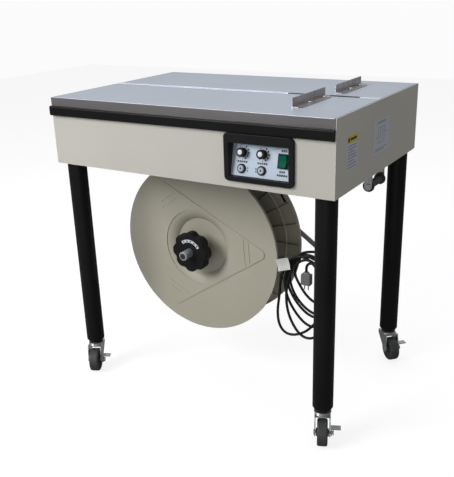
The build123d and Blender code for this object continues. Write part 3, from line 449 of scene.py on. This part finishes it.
black_moulding = material_from(rubbed_surface, "black_moulding", {
    "Tone A": (0.008, 0.008, 0.009, 1), "Tone B": (0.013, 0.013, 0.015, 1),
    "Edge Tone": (0.05, 0.05, 0.05, 1), "Cloud Scale": 20.0, "Grain Scale": 1400.0,
    "Rough Low": 0.4, "Rough High": 0.55, "Edge Amount": 0.3}, bump=0.4, gloss=0.16)
dress(black_moulding, "control_bezel", "clamp_knob", "switch_bodies", "feed_dial", "tension_dial")
face_finish = material_from(brushed_metal, "silver_blue_face", {
    "Tone A": (0.47, 0.55, 0.64, 1), "Tone B": (0.43, 0.505, 0.59, 1),
    "Stretch": (30.0, 30.0, 400.0), "Rough Low": 0.4, "Rough High": 0.5}, metallic=0.3, bump=0.03)
dress(face_finish, "control_face")
button_cap = material_from(rubbed_surface, "button_cap", {
    "Tone A": (0.45, 0.5, 0.55, 1), "Tone B": (0.38, 0.43, 0.48, 1),
    "Edge Tone": (0.7, 0.7, 0.7, 1), "Rough Low": 0.25, "Rough High": 0.35})
dress(button_cap, "feed_button", "reset_button")
green_cap = material_from(rubbed_surface, "green_rocker", {
    "Tone A": (0.001, 0.12, 0.06, 1), "Tone B": (0.001, 0.10, 0.05, 1),
    "Edge Tone": (0.03, 0.3, 0.14, 1), "Rough Low": 0.5, "Rough High": 0.6}, gloss=0.08)
dress(green_cap, "power_rocker")
# Dark printing ink for marks and legends, also used as painted shade in the spindle's bore.
ink_and_shade = material_from(rubbed_surface, "printing_ink_and_shade", {
    "Tone A": (0.02, 0.022, 0.026, 1), "Tone B": (0.035, 0.037, 0.042, 1),
    "Edge Tone": (0.1, 0.1, 0.1, 1), "Rough Low": 0.45, "Rough High": 0.6, "Edge Amount": 0.0}, gloss=0.3)
dial_white = material_from(rubbed_surface, "dial_cap_white", {
    "Tone A": (0.82, 0.83, 0.84, 1), "Tone B": (0.74, 0.75, 0.77, 1),
    "Edge Tone": (0.9, 0.9, 0.9, 1), "Rough Low": 0.3, "Rough High": 0.45})

face_lean, face_height = 19, 87         # how far the plate leans back over its height
face_middle = at_table(245, -292.5, 784.5)     # marks are placed from here, along the slope
tilt = math.atan2(face_lean, face_height)
plate_axes = Matrix(((1, 0, 0), (0, math.sin(tilt), math.cos(tilt)),
                     (0, -math.cos(tilt), math.sin(tilt)))).transposed().to_4x4()
face_place = Matrix.Translation(face_middle) @ plate_axes
ink_thick = 0.4
left_column, right_column = -54.5, 3.5
dial_row, button_row = 16, -25
scale_radius = 16.5
large_dot, small_dot = 2.3, 1.3


def disc(name, centre, radius, thick, body, material, place=None, bevel=0.0, sides=48):
    """A round disc whose axis is local Z, centred at centre in millimetres."""
    deselect()
    bpy.ops.mesh.primitive_cylinder_add(vertices=sides, radius=radius / 1000, depth=thick / 1000)
    piece = bpy.context.object
    if bevel:
        edges = piece.modifiers.new("edges", "BEVEL")
        edges.width = bevel / 1000
        edges.segments = 2
        edges.limit_method = "ANGLE"
        apply_modifiers(piece)
    bpy.ops.object.shade_smooth_by_angle(angle=math.radians(35))
    place = place or Matrix.Translation(at_table(0, 0, 0))
    piece.matrix_world = place @ Matrix.Translation(Vector(centre) / 1000)
    return settle(piece, name, body, material)


def print_bar(name, low, high):
    """A short printed bar on the sloping plate."""
    block(name, (*low, 0), (*high, ink_thick), "machine", ink_and_shade, place=face_place)


for name, dial_x in (("feed_dial", left_column), ("tension_dial", right_column)):
    disc(name + "_cap", (dial_x, dial_row, 17.4), 6.6, 1.2, name, dial_white,
         place=face_place, bevel=0.4)
    for number in range(11):
        angle = math.radians(-60 + 30 * number)
        size = large_dot if number < 5 else small_dot
        disc("%s_mark_%d" % (name, number + 1),
             (dial_x + scale_radius * math.cos(-angle), dial_row + scale_radius * math.sin(-angle), 0.15),
             size, 0.5, "machine", ink_and_shade, place=face_place, sides=20)
    for number in range(5):
        left = dial_x - 14 + 6 * number
        print_bar("%s_legend_%d" % (name, number + 1), (left, -9.5), (left + 4.4, -5.0))
for name, button_x, side in (("feed_button", left_column, 1), ("reset_button", right_column, -1)):
    disc(name + "_dot", (button_x, button_row, 7.1), 2.4, 0.4, name, ink_and_shade,
         place=face_place)
    for number in range(2):
        middle, low = button_x + side * 17, -31 + 7 * number
        print_bar("%s_legend_%d" % (name, number + 1), (middle - 1.2, low), (middle + 1.8, low + 3.5))
for number in range(3):
    left = 54 + 5.6 * number
    print_bar("rocker_upper_mark_%d" % (number + 1), (left, 27), (left + 4, 32))
    print_bar("rocker_lower_mark_%d" % (number + 1), (left - 1, -24.5), (left + 3, -19.8))
for number in range(5):
    left = 47 + 6 * number
    print_bar("rocker_legend_%d" % (number + 1), (left, -33.5), (left + 4.4, -28.6))

# ---- Labels on the right end ---------------------------------------------
# Two self-adhesive film labels: a narrow one with a yellow heading over ruled
# lines, and a paler one with a plain line drawing of the strap path.

label_film = material_from(rubbed_surface, "label_film", {
    "Tone A": (0.62, 0.66, 0.72, 1), "Tone B": (0.56, 0.6, 0.66, 1),
    "Edge Tone": (0.8, 0.8, 0.8, 1), "Rough Low": 0.25, "Rough High": 0.35})
label_yellow = material_from(rubbed_surface, "label_yellow", {
    "Tone A": (0.72, 0.56, 0.03, 1), "Tone B": (0.65, 0.5, 0.03, 1),
    "Edge Tone": (0.8, 0.7, 0.2, 1), "Rough Low": 0.25, "Rough High": 0.35})
label_ink = material_from(rubbed_surface, "label_ink", {
    "Tone A": (0.16, 0.2, 0.28, 1), "Tone B": (0.22, 0.26, 0.34, 1),
    "Edge Tone": (0.3, 0.3, 0.3, 1), "Rough Low": 0.35, "Rough High": 0.45})
end_face = 450


def stick_label(name, y_low, z_low, y_high, z_high, film):
    """A rectangle of film stuck to the panel."""
    block(name, (end_face, y_low, z_low), (end_face + 0.3, y_high, z_high), "machine", film)


def print_line(name, y, z, wide, tall, tint):
    """A printed line or patch that lies on a label."""
    block(name, (end_face + 0.2, y, z), (end_face + 0.5, y + wide, z + tall), "machine", tint)


stick_label("narrow_label", -238, 766, -172, 832, label_film)
stick_label("narrow_label_heading", -238, 832, -172, 850, label_yellow)
print_line("narrow_label_sign", -232, 836, 10, 10, ink_and_shade)
print_line("narrow_label_title", -217, 838, 39, 6, ink_and_shade)
for number in range(8):
    wide = 41 if number % 3 == 2 else 55
    print_line("narrow_label_line_%d" % (number + 1), -233, 824 - 7.6 * number, wide, 2, label_ink)
stick_label("wide_label", -55, 764, 60, 856, label_film)
drawing_lines = (             # left end, height, length and thickness of each line
    (-30, 845, 60, 3), (-46, 776, 92, 1.6), (-46, 771, 70, 1.6), (-24, 832, 46, 1.4),
    (-24, 792, 1.4, 40), (21, 792, 1.4, 40), (-24, 791, 46, 1.4), (-10, 800, 1.4, 24),
    (8, 800, 1.4, 24), (-10, 823, 19, 1.4), (-40, 806, 12, 1.4), (26, 816, 18, 1.4))
for number, (y, z, wide, tall) in enumerate(drawing_lines):
    print_line("wide_label_line_%d" % (number + 1), y, z, wide, tall, label_ink)

# ---- Strap reel ----------------------------------------------------------
# Both flanges and the drum are beige-grey injection mouldings with a satin skin; a lobed black hand nut
# clamps them on a bright spindle. A pale painted highlight ring and dark painted shade strips draw the rear
# flange's ribs, and black painted shade backs its slots and the spindle's bore.

reel_moulding = material_from(rubbed_surface, "reel_moulding", {
    "Tone A": (0.50, 0.48, 0.39, 1), "Tone B": (0.46, 0.44, 0.355, 1),
    "Edge Tone": (0.58, 0.56, 0.49, 1), "Cloud Scale": 4.0, "Grain Scale": 900.0,
    "Rough Low": 0.42, "Rough High": 0.55, "Edge Width": 0.0025, "Edge Amount": 0.5}, bump=0.12)
dress(reel_moulding, "reel_front_flange", "reel_rear_flange")
# Pale painted highlight for the lit edge of the rear flange's ring rib.
rib_painted_highlight = material_from(rubbed_surface, "rib_edge_painted_highlight", {
    "Tone A": (0.95, 0.92, 0.78, 1), "Tone B": (0.88, 0.85, 0.72, 1),
    "Edge Tone": (0.95, 0.92, 0.78, 1), "Rough Low": 0.4, "Rough High": 0.55})
rib_dark = material_from(rubbed_surface, "rib_side_shade", {
    "Tone A": (0.11, 0.095, 0.06, 1), "Tone B": (0.13, 0.11, 0.07, 1),
    "Edge Tone": (0.14, 0.12, 0.08, 1), "Rough Low": 0.5, "Rough High": 0.65})
reel_x, reel_z = -90, 428
rib_count = 24
ring_rib_radius = 0.228
knob_front, rear_inner_face, spindle_end, rear_face = -154, 56.2, -190, 66
label_tiles = 15               # the curved knob label is set out in small tiles
label_start, label_step = 34, 6.6       # degrees
slot_angles = (34, 154, 274)


def on_reel_axis(y, degrees=0.0):
    """The place on the spindle's axis at depth y, its Z along the axis to the front, turned round it."""
    upright = Matrix.Rotation(math.radians(90), 4, "X")
    turn = Matrix.Rotation(math.radians(degrees), 4, "Z")
    return Matrix.Translation(at_table(reel_x, y, reel_z)) @ upright @ turn


for number in range(label_tiles):
    tile_place = on_reel_axis(knob_front, label_start + label_step * number)
    block("knob_label_%d" % (number + 1), (33.5, -2.6, 0), (42.5, 2.6, 0.5), "knob",
          dial_white, place=tile_place)
    if number % 3 == 1:
        block("knob_label_mark_%d" % (number + 1), (36, -2.0, 0.4), (40, 2.4, 0.7), "knob",
              ink_and_shade, place=tile_place)
# Painted shade: a dark disc at the spindle's end stands for the inside of its hollow bore.
disc("spindle_bore_shadow", (0, 0, 0.1), 9.5, 0.4, "machine", ink_and_shade,
     place=on_reel_axis(spindle_end))
# Painted highlight: a thin pale ring along the ring rib on the rear flange's inner face.
deselect()
bpy.ops.mesh.primitive_torus_add(major_radius=ring_rib_radius, minor_radius=0.0012,
                                 major_segments=96, minor_segments=8)
rib_ring = bpy.context.object
rib_ring.matrix_world = on_reel_axis(rear_inner_face - 0.6)
settle(rib_ring, "flange_ring_rib_highlight", "reel", rib_painted_highlight)
for number in range(rib_count):
    block("flange_rib_shadow_%d" % (number + 1), (103, -1.3, -0.3), (268, 1.3, 0.5), "reel",
          rib_dark, place=on_reel_axis(rear_inner_face, 360 / rib_count * number))
# Painted shade: black plates behind the rear flange's slots stand for the dark seen through them.
for degrees in slot_angles:
    block("flange_slot_shade_%d" % degrees, (251, -15, -1.5), (263, 15, -0.5), "reel",
          black_paint_and_shade, place=on_reel_axis(rear_face, degrees))
grey_bar = material_from(rubbed_surface, "grey_bar", {
    "Tone A": (0.34, 0.34, 0.33, 1), "Tone B": (0.28, 0.28, 0.275, 1),
    "Edge Tone": (0.55, 0.55, 0.55, 1), "Rough Low": 0.35, "Rough High": 0.5})
dress(grey_bar, "brake_arm")
dark_rubber = material_from(rubbed_surface, "dark_rubber", {
    "Tone A": (0.035, 0.035, 0.036, 1), "Tone B": (0.05, 0.05, 0.05, 1),
    "Edge Tone": (0.09, 0.09, 0.09, 1), "Rough Low": 0.5, "Rough High": 0.7}, bump=0.3)
dress(dark_rubber, "guide_roller", "feed_roller", "drive_belt")

# ---- Casters -------------------------------------------------------------
# Stamped forks in bright zinc plate carry dark grey moulded wheels, each with
# a pressed side lever that locks the axle.

zinc = material_from(brushed_metal, "bright_zinc", {
    "Tone A": (0.62, 0.64, 0.64, 1), "Tone B": (0.48, 0.5, 0.5, 1),
    "Stretch": (60.0, 60.0, 60.0), "Rough Low": 0.22, "Rough High": 0.4}, metallic=0.9, bump=0.05)
tread_rubber = material_from(rubbed_surface, "tread_rubber", {
    "Tone A": (0.045, 0.045, 0.048, 1), "Tone B": (0.065, 0.065, 0.068, 1),
    "Edge Tone": (0.12, 0.12, 0.12, 1), "Cloud Scale": 25.0, "Rough Low": 0.45, "Rough High": 0.62})
dress(zinc, "guide_bracket")
for corner in corners:
    dress(zinc, "caster_fork_" + corner, "brake_lever_" + corner)
    dress(tread_rubber, "caster_wheel_" + corner)

# ---- Drive and electrics -------------------------------------------------
# The motor and gearbox are enamelled castings; the control box is plated
# sheet. They are seen only from below.

enamel = material_from(rubbed_surface, "motor_enamel", {
    "Tone A": (0.09, 0.12, 0.15, 1), "Tone B": (0.11, 0.14, 0.17, 1),
    "Edge Tone": (0.25, 0.27, 0.3, 1), "Rough Low": 0.35, "Rough High": 0.5})
dress(enamel, "drive_motor", "gearbox")
plated = material_from(brushed_metal, "plated_sheet", {
    "Tone A": (0.6, 0.6, 0.56, 1), "Tone B": (0.5, 0.5, 0.48, 1),
    "Stretch": (40.0, 40.0, 40.0), "Rough Low": 0.35, "Rough High": 0.5}, metallic=0.8)
dress(plated, "control_box")

# ---- Power cord ----------------------------------------------------------
# A black three core lead leaves a ribbed strain relief under the body, drops to
# a loosely wound coil of six turns that hangs beside the reel, and ends in its
# moulded plug. A blank film tag is tied to the coil.

cord_width = 0.008
lead = [(322, -70, 676), (322, -70, 644), (326, -72, 606), (331, -70, 566), (326, -74, 528),
        (315, -71, 497), (302, -66, 468), (276, -58, 464), (240, -56, 452)]
turns = [(222, 322, 318, 449), (206, 336, 268, 455), (202, 340, 262, 458), (198, 344, 256, 456),
         (184, 332, 187, 456), (210, 348, 196, 452)]      # left, right, low and high limits
turn_sway = (22, 26, 28, 16, -42, 2)       # how far each turn's bottom swings to the right
turn_step = 7.4
first_turn_y = -54.0
steps = 14
steps_left_off = 3             # the last turn is left open where the end leads to the plug
wobble = 1.5
wander = random.Random(4)
coil_points = []
for number, limits in enumerate(turns):
    following = turns[min(number + 1, len(turns) - 1)]
    for step in range(steps):
        part = step / steps
        angle = math.radians(40) + 2 * math.pi * part
        ease = part * part * (3 - 2 * part)
        left, right, low, high = (a + (b - a) * ease for a, b in zip(limits, following))
        sag = max(0.0, -math.cos(angle))
        middle_x = (left + right) / 2 + turn_sway[number] * sag
        middle_z = (low + high) / 2
        x = middle_x - (right - left) / 2 * math.sin(angle) + wander.uniform(-wobble, wobble)
        z = middle_z + (high - low) / 2 * math.cos(angle) + wander.uniform(-wobble, wobble)
        coil_points.append((x, first_turn_y - turn_step * (number + part), z))
lead_end = [(318, -99, 433), (297, -98, 447), (279, -91, 436), (272, -83, 418), (272, -80, 402)]
cord_data = bpy.data.curves.new("power_cord_line", "CURVE")
cord_data.dimensions = "3D"
cord_data.bevel_depth = cord_width / 2
cord_data.bevel_resolution = 5
cord_data.resolution_u = 6
cord_data.use_fill_caps = True
spline = cord_data.splines.new("NURBS")
route = lead + coil_points[:-steps_left_off] + lead_end
cord_places = [at_table(*point) for point in route]
spline.points.add(len(cord_places) - 1)
for point, place in zip(spline.points, cord_places):
    point.co = (*place, 1)
spline.order_u = 3
spline.use_endpoint_u = True
cord = bpy.data.objects.new("power_cord_lead", cord_data)
bpy.context.collection.objects.link(cord)
jacket = material_from(rubbed_surface, "cord_jacket", {
    "Tone A": (0.007, 0.007, 0.008, 1), "Tone B": (0.012, 0.012, 0.013, 1),
    "Edge Tone": (0.03, 0.03, 0.03, 1), "Cloud Scale": 30.0, "Grain Scale": 700.0,
    "Rough Low": 0.38, "Rough High": 0.52, "Edge Amount": 0.0}, bump=0.15, gloss=0.3)
cord.data.materials.append(jacket)
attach(cord, "machine")
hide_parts("power_cord", "cord_coil")
dress(jacket, "cord_gland")
gland_x, gland_y, gland_z = lead[0]
relief_length = 0.034
relief_top, relief_tip = 0.0078, 0.0048
ring_spacing = 6
deselect()
bpy.ops.mesh.primitive_cone_add(vertices=48, radius1=relief_tip, radius2=relief_top, depth=relief_length,
                                location=at_table(gland_x, gland_y, gland_z - 16))
settle(bpy.context.object, "cord_strain_relief", "machine", jacket)
for number in range(5):
    deselect()
    bpy.ops.mesh.primitive_torus_add(
        major_radius=0.0069 - 0.00045 * number, minor_radius=0.0011, major_segments=40,
        minor_segments=8, location=at_table(gland_x, gland_y, gland_z - 5 - ring_spacing * number))
    settle(bpy.context.object, "strain_relief_ring_%d" % (number + 1), "machine", jacket)

deselect()
plug_low, plug_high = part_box("power_plug")
plug_x = (plug_low.x + plug_high.x) / 2
plug_y = (plug_low.y + plug_high.y) / 2
plug_z = at_table(0, 0, 384).z
plug_size = (0.030, 0.020, 0.034)
prong_size = (0.0016, 0.006, 0.018)
prong_side = 0.006
bpy.ops.mesh.primitive_cube_add(size=1, location=(plug_x, plug_y, plug_z))
plug = bpy.context.object
plug.scale = plug_size
bpy.ops.object.transform_apply(location=True, rotation=True, scale=True)
bpy.ops.object.mode_set(mode="EDIT")
shell = bmesh.from_edit_mesh(plug.data)
for face in shell.faces:
    face.select = face.normal.z > 0.9
bmesh.update_edit_mesh(plug.data)
bpy.ops.mesh.inset(thickness=0.005)
bpy.ops.mesh.extrude_region_move(TRANSFORM_OT_translate={"value": (0, 0, 0.008)})
bpy.ops.transform.resize(value=(0.6, 0.85, 1), center_override=(plug_x, plug_y, 0))
bpy.ops.object.mode_set(mode="OBJECT")
rounding = plug.modifiers.new("rounding", "BEVEL")
rounding.width = 0.0035
rounding.segments = 3
rounding.limit_method = "ANGLE"
apply_modifiers(plug)
plug_grey = material_from(rubbed_surface, "plug_moulding", {
    "Tone A": (0.26, 0.27, 0.265, 1), "Tone B": (0.19, 0.2, 0.2, 1),
    "Edge Tone": (0.42, 0.43, 0.43, 1), "Rough Low": 0.25, "Rough High": 0.4}, metallic=0.4)
settle(plug, "power_plug_body", "machine", plug_grey)
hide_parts("power_plug")
prong_brass = material_from(brushed_metal, "prong_brass", {
    "Tone A": (0.78, 0.72, 0.55, 1), "Tone B": (0.6, 0.56, 0.45, 1),
    "Rough Low": 0.2, "Rough High": 0.35}, metallic=1.0)
for side in (-1, 1):
    deselect()
    bpy.ops.mesh.primitive_cube_add(
        size=1, location=(plug_x + side * prong_side, plug_y, plug_low.z + 0.0095))
    prong = bpy.context.object
    prong.scale = prong_size
    tip = prong.modifiers.new("tip", "BEVEL")
    tip.width = 0.0006
    tip.segments = 2
    bpy.ops.object.transform_apply(location=False, rotation=False, scale=True)
    apply_modifiers(prong)
    settle(prong, "plug_prong_%d" % (side + 2), "machine", prong_brass)
tag_film = material_from(rubbed_surface, "tag_film", {
    "Tone A": (0.80, 0.80, 0.77, 1), "Tone B": (0.70, 0.70, 0.68, 1),
    "Edge Tone": (0.5, 0.5, 0.5, 1), "Rough Low": 0.4, "Rough High": 0.5})
tag_side = 0.037
tag_place = Matrix.Translation(at_table(207, -103, 427)) @ Matrix.Rotation(math.radians(-14), 4, "Y")
deselect()
bpy.ops.mesh.primitive_grid_add(x_subdivisions=12, y_subdivisions=12, size=tag_side)
tag = bpy.context.object
bpy.ops.object.mode_set(mode="EDIT")
bpy.ops.transform.rotate(value=math.radians(90), orient_axis="X", center_override=(0, 0, 0))
bpy.ops.object.mode_set(mode="OBJECT")
for corner in tag.data.vertices:
    corner.co.y += 0.004 * math.sin(corner.co.x * 90) + 0.002 * math.cos(corner.co.z * 110)
thick = tag.modifiers.new("thick", "SOLIDIFY")
thick.thickness = 0.0006
apply_modifiers(tag)
tag.matrix_world = tag_place
settle(tag, "cord_tag", "machine", tag_film)
